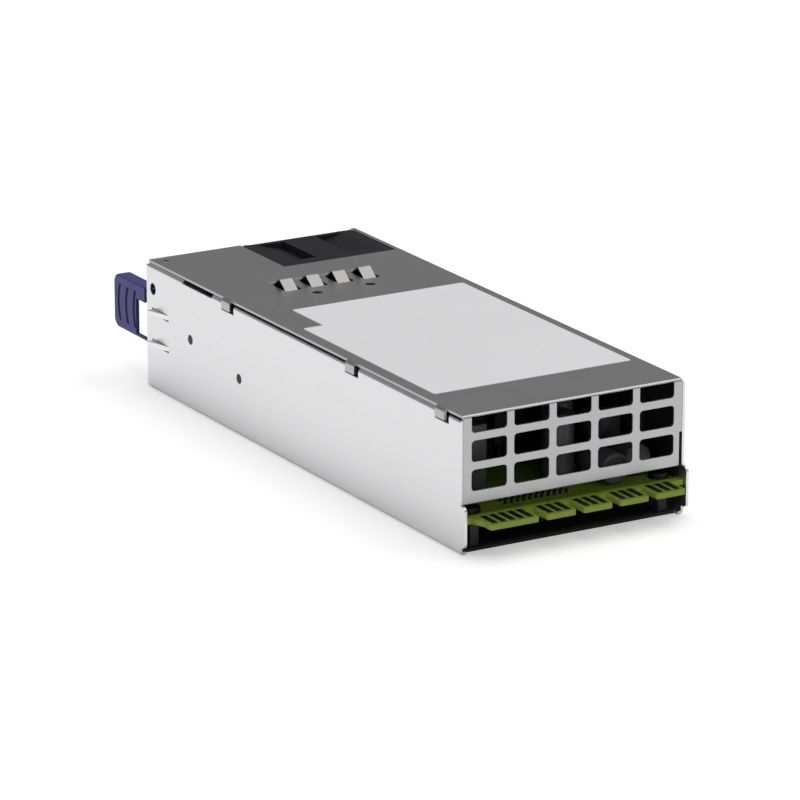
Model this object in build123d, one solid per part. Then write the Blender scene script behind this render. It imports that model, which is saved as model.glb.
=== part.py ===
import os
from math import cos, hypot, radians, sin

from build123d import *

# A hot swap server power supply: a folded steel drawer with a card edge at its front,
# and an inlet, a fan and a sprung latch at its rear. Millimetres.
# The origin is the middle of the underside, +Y runs from the card edge to the inlet, +Z is up.

# Steel case
case_width = 73.5
case_length = 185.0
case_height = 40.0
sheet = 0.8
fold = 1.2  # outer radius of a fold
slip = 0.1  # gap between sheets that slide past each other
past = 0.2  # a cut through a sheet runs this far past it
seam = 0.45  # gap between the lid and a wall's top where the rim is open
wide_seam = 1.1  # the same gap ahead of the latch
floor_setback = 1.5  # the floor stops short of the front between the walls
rim = 5.0  # width of the rims folded in along the tops of the side walls
ear_reach = 2.5  # the lower front of each wall stands forward of the grille
ear_low = 2.4
ear_high = 14.4
ear_round = 1.5
rim_gap_front = 41.5  # the open stretch of the rim, from the rear end
rim_gap_rear = 23.0
pilot_hole = 1.8  # radius of the open hole near the rear end of the left wall
pilot_from_rear = 4.05
pilot_from_top = 8.2

# Lid, its locking tabs and its grille
notch_length = 7.5
notch_depth = 3.7
tab_length = 4.9
tab_drop = 3.4
first_notch = 10.0  # notch middles, from the front end
second_notch = 60.0
last_notch = 51.35  # from the rear end
vent_bottom = 14.5
vent_sill = 3.45
vent_margin = 2.0
vent_web = 2.3
window_width = 11.4
window_height = 6.15
window_web = 2.25
window_round = 1.1
window_over = 0.3  # the top row reaches into the lid's edge
lid_fold = 0.9  # outer radius of the fold above the grille
relief_width = 0.9  # slit beside the lower right of the grille
relief_height = 9.9
lid_screw_in = 4.85  # from the outside of the left wall
lid_screw_from_rear = 3.6
lid_screw_radius = 1.5
lid_screw_head = 2.7
lid_screw_sink = 0.7
lid_screw_length = 3.0
driver_slot = 0.5
driver_reach = 3.2
screw_tab = 9.0  # widened rim under the lid screw
screw_tab_length = 7.5

# Grounding springs
finger_count = 4
finger_width = 4.2
finger_pitch = 8.95
finger_offset = -1.0
finger_rise = 2.5
finger_base = 9.6
finger_from_rear = 46.3
finger_room = 0.7
spring_sheet = 0.3
strip_border = 3.2
strip_reach = 9.0
pilot_spacing = 18.1
pilot_lead = 10.8
strip_pilot = 1.55

# Blank label
label_from_front = 21.9
label_from_rear = 70.0
label_left = 3.8
label_right = 3.0
label_step_width = 6.7
label_step_length = 18.5
label_film = 0.1
label_round = 0.8

# Fan
fan_depth = 26.7
fan_side_gap = 1.95  # to the right wall
fan_under = 1.1  # gap to the floor
fan_sink = 0.1  # its top lies this far below the lid's top
fan_gap = 0.35  # dark gap round it in the lid
duct_wall = 2.4
fan_screw_inset = 3.3  # from the housing's sides
fan_screw_radius = 1.4
screw_clear = 0.1
fan_screw_head = 2.2
fan_screw_head_height = 1.4
fan_screw_grip = 9.0
land_half = 5.65
pocket_corner = 3.95  # solid corner beside each scoop
pocket_depth = 2.4
pocket_front = 4.7
pocket_rear = 1.8
hub_radius = 9.6
hub_wall = 1.0
hub_from_front = 2.6
hub_face = 1.6
blade_count = 7
blade_thick = 0.9
blade_root_chord = 14.0
blade_tip_chord = 15.5
blade_root_pitch = 32.0
blade_tip_pitch = 52.0
tip_clear = 0.6
motor_plate = 2.4
motor_clear = 0.7
strut_width = 2.4
strut_count = 4
shaft_radius = 1.5
shaft_clear = 0.05
bearing_wall = 0.9
tube_wall = 0.9
stator_radius = 6.6
stator_slot = 1.4
magnet_wall = 1.0

# Finger guard over the fan
guard_sheet = 1.0
guard_ring = 1.3
guard_pitch = 4.3
guard_lap = 0.4  # its rim covers the duct's edge
guard_ear = 2.8
guard_spoke = 2.0
outlet_clear = 0.4

# Pull handle
strap = 1.5
strap_width = 7.0
handle_reach = 20.0
handle_bend = 3.0
handle_head_room = 0.4

# Mains inlet, turned on end
inlet_gap_to_fan = 3.0
inlet_to_doorway = 0.5
socket_width = 16.4
socket_height = 24.0
socket_depth = 17.0
socket_corner = 5.0
socket_wall = 1.4
socket_lip = 0.7
socket_lip_depth = 2.0
socket_floor = 5.0
blade_spacing = 14.0
earth_offset = 4.0
pin_width = 4.0
pin_thick = 2.0
pin_reach = 12.0
terminal_reach = 6.0
terminal_thick = 0.8
link_width = 3.6
link_thick = 1.0

# Status light below the latch
light_radius = 1.3
light_flange = 1.9
light_length = 5.0
light_proud = 0.5
light_gap = 2.0  # to the latch's opening

# Latch
rivet_radius = 1.5
latch_rivet_from_rear = 27.8
heatsink_rivet_from_rear = 58.1
latch_middle = 21.85  # height of the latch's middle
heatsink_rivet_height = 17.6
rivet_head = 2.2
rivet_head_height = 0.5
pivot_from_rear = 22.0
latch_pin_radius = 1.2
latch_pin_head = 1.8
barrel_wall = 1.3
bracket_height = 14.6
bracket_front = 14.8  # ahead of the pivot
bracket_rear = 3.6
lug_reach = 3.2
play = 0.3
arm_thick = 3.0
arm_gap = 1.35  # from the wall to the arm
tail_reach = 13.6
tail_gap = 2.75
tail_thick = 2.0
tab_reach = 23.7  # beyond the rear end
tab_thick = 4.3
tab_height = 16.9
tab_arm = 4.8
tab_rail = 1.0
tab_block = 14.7
tab_wall = 1.1  # face of the hollow thumb block
tab_notch = 2.0  # the top bar is cut back beside the rear panel
tab_round = 3.0
tab_edge = 0.6
tab_heel = 3.4  # inner rear corner, rounded in plan
groove_count = 3
groove_pitch = 4.95
groove_first = 2.6
groove_width = 1.3
groove_depth = 0.6
groove_radius = 16.5
groove_height = 11.6
tooth_reach = 2.2
tooth_front = 13.3  # from the rear end
tooth_rear = 4.4
upper_tooth = 24.85
lower_tooth = 15.05
tooth_height = 1.5
slot_room = 0.3
slot_front_room = 0.6
slot_rear_room = 1.2
plate_rear = 3.2
plate_edge = 0.8
doorway_right = 7.7  # width of the opening in the rear panel for the arm
doorway_room = 0.8
leaf = 0.3

# Main board and its card edge
board_height = 10.6  # its top
board_thick = 1.6
board_side_gap = 0.25
board_front_reach = 1.2  # ahead of the grille
board_to_fan = 9.0
tongue_reach = 7.7
tongue_width = 9.4
tongue_gap = 2.6
wide_tongue = 15.6
tongues_from_right = 4.45  # from the right wall's inside
tongues_from_left = 3.0  # at least
tongue_bevel = 1.6
contact_width = 1.8
contact_gap = 1.05
contact_length = 6.9
contact_setback = 1.2
contact_foil = 0.08
standoff_radius = 2.8
board_screw_radius = 1.4
board_screw_head = 3.0
board_screw_head_height = 2.0
screw_inset = 5.0
screw_from_front = 4.45
screw_from_rear = 5.2
floor_film = 0.3

# Signal connector below the board, with its pins through it
signal_columns = 11
signal_rows = 3
signal_pitch = 2.0
signal_row_pitch = 2.7
signal_from_front = 5.3
signal_middle = -9.0
signal_pin = 0.6
signal_pin_up = 1.3
signal_pin_down = 1.6
signal_block_height = 4.0
signal_block_border = 1.2

# Parts on the board
headroom = 2.0  # from the tallest parts to the lid
wall_gap = 2.0  # from the right wall
part_gap = 0.6
can_round = 0.8
small_can = 4.6
small_can_length = 14.0
lying_can_from_right = 19.35
lying_can_pitch = 10.0
lying_can_setback = 4.0
tall_can = 4.5
tall_can_height = 20.0
tall_can_rows = 2
tall_can_row_pitch = 10.7
tall_can_row_shift = 6.2
tall_can_from_front = 17.1
tall_can_from_lying = 11.1
wide_can = 6.0
wide_can_height = 13.0
wide_can_from_right = 8.45
wide_can_from_front = 30.0
standby_width = 14.7
standby_height = 20.0
standby_from_left = 3.55
standby_from_front = 23.8
busbar_thick = 1.2
busbar_height = 9.0
busbar_length = 10.0
busbar_pitch = 2.4
busbar_count = 2
busbar_from_right = 15.95
busbar_from_front = 23.5
output_sink_width = 48.0
output_sink_from_front = 38.0
device_count = 3
device_width = 10.0
device_height = 14.0
device_thick = 4.2
core_width = 28.0
core_length = 22.8
core_leg = 5.5
winding_overhang = 1.6
winding_gap = 0.4
choke_radius = 9.5
choke_bore = 4.5
choke_thick = 9.0
choke_wire = 1.4
choke_wall_gap = 1.5
choke_ahead = 2.0  # of the transformer's middle
card_thick = 1.6
card_length = 24.0
card_ahead = 5.0
bulk_can = 9.0
sink_thick = 2.5
sink_length = 26.0
sink_fin = 6.0
sink_fins = 4
rear_row_gap = 9.0  # free strip along the board's rear edge
relay_width = 14.0
relay_length = 20.0
filter_radius = 7.0
filter_bore = 3.6
filter_thick = 7.0
film_width = 10.0
film_length = 6.7
film_count = 2
fuse_radius = 2.3
fuse_length = 10.0

# Fan lead
lead_count = 4
lead_radius = 0.6
lead_pitch = 1.3
lead_inset = 1.0
lead_block = 5.0

half_width = case_width / 2
front = -case_length / 2
rear = case_length / 2
wall_inner = half_width - sheet
cover_half = wall_inner - slip
cover_under = case_height - sheet
rear_inner = rear - sheet
notches = (front + first_notch, front + second_notch, rear - last_notch)

socket_across = socket_width + 2 * socket_wall + 2 * socket_lip
fan_right = wall_inner - fan_side_gap
inlet_left = -cover_half + doorway_right + inlet_to_doorway
fan_size = min(case_height - sheet - fan_under - fan_sink,
               fan_right - inlet_left - socket_across - inlet_gap_to_fan)
fan_left = fan_right - fan_size
fan_x = (fan_left + fan_right) / 2
fan_z = case_height - fan_sink - fan_size / 2
fan_screw_spacing = fan_size - 2 * fan_screw_inset
fan_front = rear_inner - fan_depth
duct_radius = fan_size / 2 - duct_wall
bearing_radius = shaft_radius + shaft_clear + bearing_wall
bearing_step = hub_wall
hub_front = fan_front + hub_from_front
motor_rear = rear_inner - motor_clear
tube_start = hub_front + hub_face + motor_clear + bearing_step
stator_span = (tube_start + motor_clear, motor_rear - motor_plate - motor_clear)
fan_screw_places = [
    (fan_x + side * fan_screw_spacing / 2, fan_z + level * fan_screw_spacing / 2)
    for side in (-1, 1)
    for level in (-1, 1)
]

inlet_x = fan_left - inlet_gap_to_fan - socket_across / 2
inlet_z = (sheet + cover_under) / 2
inlet_back = rear + socket_lip_depth - socket_depth - socket_floor
light_x = -cover_half + doorway_right / 2
light_z = latch_middle - tab_height / 2 - doorway_room - light_gap - light_flange
inlet_pins = [
    (inlet_x + earth_offset / 2, inlet_z + blade_spacing / 2),
    (inlet_x + earth_offset / 2, inlet_z - blade_spacing / 2),
    (inlet_x - earth_offset / 2, inlet_z),
]

finger_middle = rear - finger_from_rear
finger_places = [
    finger_offset + (count - (finger_count - 1) / 2) * finger_pitch for count in range(finger_count)
]
strip_pilots = [
    (finger_offset / 2 + side * pilot_spacing / 2, finger_middle - pilot_lead) for side in (-1, 1)
]

barrel_radius = latch_pin_radius + shaft_clear + barrel_wall
pivot_y = rear - pivot_from_rear
pivot_x = -wall_inner + sheet + play + barrel_radius

board_rear = fan_front - board_to_fan
lead_low = max(board_height, fan_z - fan_size / 2)


def block(x, y, z):
    # A box between two values on each axis.
    spans = [sorted(pair) for pair in (x, y, z)]
    middle = [(low + high) / 2 for low, high in spans]
    size = [high - low for low, high in spans]
    return Pos(*middle) * Box(*size)


def about(middle, length):
    # The two ends of a length about its middle.
    return (middle - length / 2, middle + length / 2)


def along_x(sketch, x, y=0.0, z=0.0):
    # A sketch drawn in Y and Z, carried along X.
    plane = Plane((x[0], y, z), x_dir=(0, 1, 0), z_dir=(1, 0, 0))
    return extrude(plane * sketch, amount=x[1] - x[0])


def along_y(sketch, y, x=0.0, z=0.0):
    # A sketch drawn in X and Z, carried along Y.
    plane = Plane((x, y[1], z), x_dir=(1, 0, 0), z_dir=(0, -1, 0))
    return extrude(plane * sketch, amount=y[1] - y[0])


def along_z(sketch, z, x=0.0, y=0.0):
    # A sketch drawn in X and Y, carried along Z.
    return extrude(Pos(x, y, z[0]) * sketch, amount=z[1] - z[0])


def ring(outer, inner):
    return Circle(outer) - Circle(inner)


def shape(points):
    return make_face(Polyline(*points, close=True))


def edge_near(solid, axis, point):
    # The edge along an axis whose middle is nearest to a point.
    return solid.edges().filter_by(axis).sort_by_distance(point)[0]


def group(solids):
    return Compound(children=list(solids))


lying_can_x = wall_inner - lying_can_from_right
output_sink_y = front + output_sink_from_front
rear_row = board_rear - rear_row_gap
coil_length = core_length + 2 * winding_overhang

# The transformer and the bulk capacitors share the stretch between the output parts and the mains parts.
middle_start = output_sink_y + sink_thick
middle_end = rear_row - relay_length
middle_gap = (middle_end - middle_start - coil_length - 2 * bulk_can) / 3
transformer_y = middle_start + middle_gap + coil_length / 2
bulk_y = middle_end - middle_gap - bulk_can
choke_x = -wall_inner + choke_wall_gap + choke_wire + choke_radius
card_x = wall_inner - wall_gap - card_thick
transformer_x = (choke_x + choke_radius + choke_wire + card_x) / 2
film_x = wall_inner - wall_gap - film_width / 2
relay_x = film_x - film_width / 2 - part_gap - relay_width / 2
filter_x = relay_x - relay_width / 2 - part_gap - choke_wire - filter_radius

board_screw_rows = (
    front + screw_from_front,
    bulk_y - bulk_can - board_screw_head,
    board_rear - screw_from_rear,
)
board_screw_places = [
    (side * (wall_inner - screw_inset), row) for side in (-1, 1) for row in board_screw_rows
]
signal_pins = [
    (signal_middle + (column - (signal_columns - 1) / 2) * signal_pitch,
     front + signal_from_front + row * signal_row_pitch)
    for column in range(signal_columns)
    for row in range(signal_rows)
]


def wall_features():
    # Slots, notches and holes that are cut through the side walls.
    cuts = []
    left = (-half_width - past, -wall_inner + past)
    for middle in (upper_tooth, lower_tooth):
        slot = (rear - tooth_front - slot_front_room, rear - tooth_rear + slot_rear_room)
        cuts.append(block(left, slot, about(middle, tooth_height + 2 * slot_room)))
    holes = (
        (pilot_hole, rear - pilot_from_rear, case_height - pilot_from_top),
        (rivet_radius, rear - latch_rivet_from_rear, latch_middle),
        (rivet_radius, rear - heatsink_rivet_from_rear, heatsink_rivet_height),
    )
    for radius, place, height in holes:
        cuts.append(along_x(Circle(radius), left, place, height))
    both = (-half_width - past, half_width + past)
    for place in notches:
        cuts.append(block(both, about(place, notch_length), (case_height - notch_depth, case_height)))
    return cuts


def make_chassis():
    span = (front, rear)
    middle = cover_under / 2
    tray = along_y(RectangleRounded(case_width, cover_under, fold), span, z=middle)
    inside = RectangleRounded(case_width - 2 * sheet, cover_under - 2 * sheet, fold - sheet)
    tray -= along_y(inside, span, z=middle)
    rim_low = cover_under - sheet
    tray -= block(about(0, case_width - 2 * rim), span, (rim_low, cover_under))
    # The rims stop at the notches, ahead of the latch, at the rear panel and beside the fan.
    everywhere = (-half_width, half_width)
    above = (rim_low, cover_under)
    open_spans = (
        (front, notches[0] + notch_length / 2, seam),
        (notches[1] - notch_length / 2, notches[2] + notch_length / 2, seam),
        (rear - rim_gap_front, rear - rim_gap_rear, wide_seam),
        (rear_inner - slip, rear, seam),
    )
    for start, end, gap in open_spans:
        open_span = (start, end)
        tray -= block(everywhere, open_span, (cover_under - gap, cover_under))
        tray -= block(about(0, 2 * wall_inner), open_span, (cover_under - fold, cover_under))
    tray -= block((0, half_width), (fan_front - fan_gap, rear), above)
    tray -= block(about(0, 2 * wall_inner - 2 * fold), (front, front + floor_setback), (0, sheet))
    tab_rear = rear_inner - 2 * slip
    tab = block((-wall_inner, -half_width + screw_tab), (tab_rear - screw_tab_length, tab_rear), above)
    tray += tab
    tray -= along_z(Circle(lid_screw_radius), above, -half_width + lid_screw_in, rear - lid_screw_from_rear)
    for cut in wall_features():
        tray -= cut
    ear = RectangleRounded(2 * ear_reach, ear_high - ear_low, ear_round)
    for side in (-1, 1):
        x = sorted((side * wall_inner, side * half_width))
        tray += along_x(ear, x, front, (ear_high + ear_low) / 2)
    return tray


def make_top_cover():
    across = (-cover_half, cover_half)
    skin = block(across, (front, rear), (cover_under, case_height))
    skin += block(across, (front, front + sheet), (vent_bottom, case_height))
    skin = fillet(edge_near(skin, Axis.X, (0, front, case_height)), lid_fold)
    skin = fillet(edge_near(skin, Axis.X, (0, front + sheet, cover_under)), lid_fold - sheet)
    for side in (-1, 1):
        for place in notches:
            rear_end = place + notch_length / 2 - slip
            span = (rear_end - tab_length, rear_end)
            hook = block((side * (cover_half - fold), side * half_width), span, (cover_under, case_height))
            drop = (case_height - tab_drop, case_height)
            hook += block((side * wall_inner, side * half_width), span, drop)
            corner = (side * half_width, rear_end - tab_length / 2, case_height)
            skin += fillet(edge_near(hook, Axis.Y, corner), fold)
    skin -= vent_windows()
    skin -= block((cover_half - relief_width, half_width), (front, front + sheet),
                  (vent_bottom, vent_bottom + relief_height))
    fan_span = (fan_left - fan_gap, fan_right + fan_gap)
    skin -= block(fan_span, (fan_front - fan_gap, rear), (cover_under, case_height))
    for x in finger_places:
        room = about(finger_middle, finger_base + 2 * finger_room)
        skin -= block(about(x, finger_width + 2 * finger_room), room, (cover_under, case_height))
    for x, y in strip_pilots:
        skin -= along_z(Circle(strip_pilot), (cover_under, case_height), x, y)
    # The lid screw's hole is countersunk for a flat head.
    depth = lid_screw_sink
    sink = Pos(-half_width + lid_screw_in, rear - lid_screw_from_rear, case_height - depth / 2)
    skin -= sink * Cone(lid_screw_radius + screw_clear, lid_screw_head, depth)
    skin -= along_z(Circle(lid_screw_radius + screw_clear), (cover_under, case_height),
                    -half_width + lid_screw_in, rear - lid_screw_from_rear)
    return skin


def vent_windows():
    # Rounded windows in rows and columns; the top row is cut up into the lid's front edge.
    pitch = window_width + vent_web
    columns = int((2 * (cover_half - vent_margin) + vent_web) // pitch)
    row_pitch = window_height + window_web
    first = vent_bottom + vent_sill
    rows = int((cover_under - window_web - first) // row_pitch) + 1
    panel = (front - past, front + sheet)
    below_lid = block((-half_width, half_width), panel, (0, cover_under + window_over))
    cuts = []
    for column in range(columns):
        x = (column - (columns - 1) / 2) * pitch
        for row in range(rows):
            low = first + row * row_pitch
            reach = 2 * window_height if row == rows - 1 else window_height
            window = along_y(RectangleRounded(window_width, reach, window_round), panel, x, low + reach / 2)
            cuts.append(window & below_lid)
    return cuts


def make_rear_panel():
    panel = block((-cover_half, cover_half), (rear_inner, rear), (sheet, cover_under))
    for side in (-1, 1):
        panel = fillet(edge_near(panel, Axis.Y, (side * cover_half, rear, sheet)), fold)
    foot = 2 * rim
    panel += block(about(0, 2 * (cover_half - rim)), (rear_inner - foot, rear), (sheet, 2 * sheet))
    low = latch_middle - tab_height / 2 - doorway_room
    high = latch_middle + tab_height / 2 + doorway_room
    through = (rear_inner - past, rear + past)
    panel -= block((-half_width, -cover_half + doorway_right), through, (low, high))
    width = socket_width + 2 * socket_wall + 2 * slip
    height = socket_height + 2 * socket_wall + 2 * slip
    panel -= along_y(Rectangle(width, height), through, inlet_x, inlet_z)
    panel -= along_y(Circle(duct_radius - outlet_clear), through, fan_x, fan_z)
    for x, z in fan_screw_places:
        panel -= along_y(Circle(fan_screw_radius + screw_clear), through, x, z)
    panel -= along_y(Circle(light_radius + slip), through, light_x, light_z)
    return panel


def make_cover_screw():
    depth = lid_screw_sink
    x = -half_width + lid_screw_in
    y = rear - lid_screw_from_rear
    screw = Pos(x, y, case_height - depth / 2) * Cone(lid_screw_radius, lid_screw_head - screw_clear, depth)
    shank = lid_screw_radius - shaft_clear
    screw += along_z(Circle(shank), (case_height - lid_screw_length, case_height - depth), x, y)
    for size in ((driver_reach, driver_slot), (driver_slot, driver_reach)):
        screw -= along_z(Rectangle(*size), (case_height - depth / 2, case_height), x, y)
    return screw


def make_grounding_springs():
    low = cover_under - spring_sheet
    left = finger_places[0] - finger_width / 2 - strip_border
    right = finger_places[-1] + finger_width / 2 + strip_border
    front_end = finger_middle - finger_base / 2 - strip_reach
    rear_end = finger_middle + finger_base / 2 + strip_border
    strip = block((left, right), (front_end, rear_end), (low, cover_under))
    half = finger_base / 2
    top = case_height + finger_rise
    rise = top - low
    slant = hypot(half, rise)
    thick_up = spring_sheet * slant / half
    thick_along = spring_sheet * slant / rise
    roof = [(-half, low), (0, top), (half, low), (half - thick_along, low), (0, top - thick_up),
            (thick_along - half, low)]
    for x in finger_places:
        hole = (finger_middle - half + thick_along, finger_middle + half + finger_room)
        strip -= block(about(x, finger_width + 2 * finger_room), hole, (low, cover_under))
        finger = along_x(shape(roof), about(x, finger_width), finger_middle)
        finger = fillet(edge_near(finger, Axis.X, (x, finger_middle, top)), 3 * spring_sheet)
        strip += finger
    for x, y in strip_pilots:
        strip -= along_z(Circle(strip_pilot), (low, cover_under), x, y)
    return strip


def make_rating_label():
    left = -cover_half + label_left
    right = cover_half - label_right
    low = front + label_from_front
    high = rear - label_from_rear
    outline = [(left, low), (right, low), (right, high), (left + label_step_width, high),
               (left + label_step_width, high - label_step_length), (left, high - label_step_length)]
    face = shape(outline)
    face = fillet(face.vertices(), label_round)
    return along_z(face, (case_height, case_height + label_film))


def make_fan_frame():
    top = fan_z + fan_size / 2
    frame = block((fan_left, fan_right), (fan_front, rear_inner), (top - fan_size, top))
    through = (fan_front - past, rear_inner + past)
    frame -= along_y(Circle(duct_radius), through, fan_x, fan_z)
    for x, z in fan_screw_places:
        frame -= along_y(Circle(fan_screw_radius + shaft_clear), through, x, z)
    # Each side of the housing has a pair of scoops that run out beside a flat land.
    scoop_span = (fan_front + pocket_front, rear_inner - pocket_rear)
    for turn in range(4):
        for side in (-1, 1):
            near = side * land_half
            far = side * (fan_size / 2 - pocket_corner)
            edge = fan_size / 2
            scoop = shape([(near, edge), (near, edge - pocket_depth), (far, edge)])
            frame -= along_y(Rot(0, 0, 90 * turn) * scoop, scoop_span, fan_x, fan_z)
    plate = (motor_rear - motor_plate, motor_rear)
    motor = along_y(Circle(hub_radius), plate, fan_x, fan_z)
    for turn in range(strut_count):
        arm = Rot(0, 0, 360 / strut_count * (turn + 0.5)) * Pos(duct_radius / 2 + duct_wall / 4, 0)
        motor += along_y(arm * Rectangle(duct_radius + duct_wall / 2, strut_width), plate, fan_x, fan_z)
    tube_span = (tube_start, plate[0])
    motor += along_y(Circle(bearing_radius + tube_wall), tube_span, fan_x, fan_z)
    frame += motor
    bore_span = (tube_span[0], motor_rear - motor_plate / 2)
    frame -= along_y(Circle(bearing_radius), bore_span, fan_x, fan_z)
    return frame


def make_fan_rotor():
    cup_span = (hub_front, motor_rear - motor_plate - motor_clear)
    cup = along_y(Circle(hub_radius), cup_span, fan_x, fan_z)
    cup = fillet(cup.edges().sort_by(Axis.Y)[0], hub_wall)
    hollow = (hub_front + hub_face, cup_span[1])
    cup -= along_y(Circle(hub_radius - hub_wall), hollow, fan_x, fan_z)
    cup += along_y(Circle(bearing_radius), (hub_front, hub_front + hub_face + bearing_step), fan_x, fan_z)
    cup -= along_y(Circle(shaft_radius), (hub_front + hub_face / 2, cup_span[1]), fan_x, fan_z)
    swept = along_y(ring(duct_radius - tip_clear, hub_radius - hub_wall / 2), cup_span, fan_x, fan_z)
    middle = (cup_span[0] + cup_span[1]) / 2
    inner = hub_radius - hub_wall
    outer = duct_radius
    for count in range(blade_count):
        angle = radians(360 / blade_count * count)
        outward = (cos(angle), 0, sin(angle))
        sections = []
        for radius, chord, pitch in ((inner, blade_root_chord, blade_root_pitch),
                                     (outer, blade_tip_chord, blade_tip_pitch)):
            origin = (fan_x + radius * cos(angle), middle, fan_z + radius * sin(angle))
            plane = Plane(origin, x_dir=(0, 1, 0), z_dir=outward)
            sections.append(plane * (Rot(0, 0, pitch) * Rectangle(chord, blade_thick)))
        cup += loft(sections, ruled=True) & swept
    return cup


def make_fan_shaft():
    # The shaft is pressed into the hub and runs in the bearing.
    span = (hub_front + hub_face / 2, motor_rear - motor_plate / 2 - motor_clear)
    return along_y(Circle(shaft_radius), span, fan_x, fan_z)


def make_fan_bearing():
    span = (tube_start, motor_rear - motor_plate / 2)
    return along_y(ring(bearing_radius, shaft_radius + shaft_clear), span, fan_x, fan_z)


def make_fan_stator():
    # A slotted ring on the bearing tube.
    stator = along_y(ring(stator_radius, bearing_radius + tube_wall), stator_span, fan_x, fan_z)
    for turn in range(2):
        slots = Rot(0, 0, 45 + 90 * turn) * Rectangle(2 * stator_radius, stator_slot)
        keep = Circle(bearing_radius + 2 * tube_wall)
        stator -= along_y(slots - keep, stator_span, fan_x, fan_z)
    return stator


def make_rotor_magnet():
    wall = ring(hub_radius - hub_wall, hub_radius - hub_wall - magnet_wall)
    return along_y(wall, (hub_front + hub_face, stator_span[1] - motor_clear), fan_x, fan_z)


def make_fan_guard():
    span = (rear, rear + guard_sheet)
    middle = duct_radius + guard_lap - guard_ring / 2
    radii = [middle - count * guard_pitch for count in range(int(middle // guard_pitch))]
    face = Sketch()
    for radius in radii:
        face += ring(radius + guard_ring / 2, radius - guard_ring / 2)
    corner = fan_screw_spacing / 2 * 2**0.5
    for turn in range(4):
        spoke = Rot(0, 0, 45 + 90 * turn)
        inner_end = radii[-1]
        length = corner - inner_end
        face += spoke * (Pos(inner_end + length / 2, 0) * Rectangle(length, guard_spoke))
        face += spoke * (Pos(corner, 0) * Circle(guard_ear))
    for turn in range(4):
        face -= Rot(0, 0, 45 + 90 * turn) * (Pos(corner, 0) * Circle(fan_screw_radius + screw_clear))
    return along_y(face, span, fan_x, fan_z)


def make_fan_screws():
    screws = []
    for x, z in fan_screw_places:
        seat = rear + guard_sheet + (strap if x < fan_x else 0)
        screw = along_y(Circle(fan_screw_head), (seat, seat + fan_screw_head_height), x, z)
        screw = fillet(screw.edges().sort_by(Axis.Y)[-1], fan_screw_head_height / 2)
        screw += along_y(Circle(fan_screw_radius), (rear - fan_screw_grip, seat), x, z)
        screws.append(screw)
    return group(screws)


def make_pull_handle():
    # A flat strap bent into a loop, its feet under the left pair of fan screws.
    seat = rear + guard_sheet
    middle = strap / 2
    foot_low = fan_screw_places[0][1] - fan_screw_head + middle
    foot_high = fan_screw_places[1][1] + fan_screw_head - middle
    leg_offset = fan_screw_head + handle_head_room + handle_bend
    low_leg = fan_screw_places[0][1] + leg_offset
    high_leg = fan_screw_places[1][1] - leg_offset
    path = FilletPolyline(
        (middle, foot_low), (middle, low_leg), (handle_reach, low_leg),
        (handle_reach, high_leg), (middle, high_leg), (middle, foot_high), radius=handle_bend,
    )
    strip = offset(path, middle, kind=Kind.ARC, side=Side.BOTH)
    handle = along_x(make_face(strip.edges()), about(fan_screw_places[0][0], strap_width), seat)
    foot = (seat - past, seat + strap + past)
    for x, z in fan_screw_places[:2]:
        handle -= along_y(Circle(fan_screw_radius + screw_clear), foot, x, z)
    return handle


def socket_outline(extra):
    # The inlet's outline on end, two corners cut off on its left side.
    half_w = socket_width / 2 + extra
    half_h = socket_height / 2 + extra
    corner = socket_corner
    points = [(half_w, -half_h), (half_w, half_h), (corner - half_w, half_h), (-half_w, half_h - corner),
              (-half_w, corner - half_h), (corner - half_w, -half_h)]
    face = shape(points)
    return fillet(face.vertices(), socket_lip)


def make_inlet_socket():
    width = socket_width + 2 * socket_wall
    height = socket_height + 2 * socket_wall
    body = along_y(Rectangle(width, height), (inlet_back, rear), inlet_x, inlet_z)
    lip = RectangleRounded(width + 2 * socket_lip, height + 2 * socket_lip, 2 * socket_lip)
    body += along_y(lip, (rear, rear + socket_lip_depth), inlet_x, inlet_z)
    mouth = rear + socket_lip_depth
    body -= along_y(socket_outline(0), (mouth - socket_depth, mouth), inlet_x, inlet_z)
    for x, z in inlet_pins:
        body -= along_y(Rectangle(pin_width, pin_thick), (inlet_back, mouth), x, z)
    return body


def make_inlet_blades():
    floor = rear + socket_lip_depth - socket_depth
    blades = []
    for x, z in inlet_pins:
        blade = along_y(Rectangle(pin_width, pin_thick), (inlet_back, floor + pin_reach), x, z)
        blade = chamfer(blade.edges().group_by(Axis.Y)[-1], pin_thick / 4)
        terminal = (inlet_back - terminal_reach, inlet_back)
        blade += along_y(Rectangle(pin_width, terminal_thick), terminal, x, z)
        blades.append(blade)
    return group(blades)


def make_inlet_links():
    # Bent straps from the terminals to the board. The top one comes down on the board in front of
    # the other two, which step over the board's rear edge.
    links = []
    for x, z in inlet_pins:
        width = about(x, link_width)
        seat = z - terminal_thick / 2
        on_board = z > inlet_z
        riser = board_rear - 2 * link_width if on_board else board_rear + play
        foot = riser if on_board else board_rear - link_width
        levels = (board_height, board_height + link_thick, seat - link_thick, seat)
        link = block(width, (riser, inlet_back - terminal_reach / 2), (seat - link_thick, seat))
        link += block(width, (riser, riser + link_thick), (min(levels), max(levels)))
        link += block(width, (foot, riser + link_thick), (board_height, board_height + link_thick))
        links.append(link)
    return group(links)


def make_status_light():
    lamp = along_y(Circle(light_radius), (rear_inner - light_length, rear + light_proud), light_x, light_z)
    lamp = fillet(lamp.edges().sort_by(Axis.Y)[-1], light_proud)
    lamp += along_y(Circle(light_flange), (rear_inner - sheet, rear_inner), light_x, light_z)
    return lamp


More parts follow.
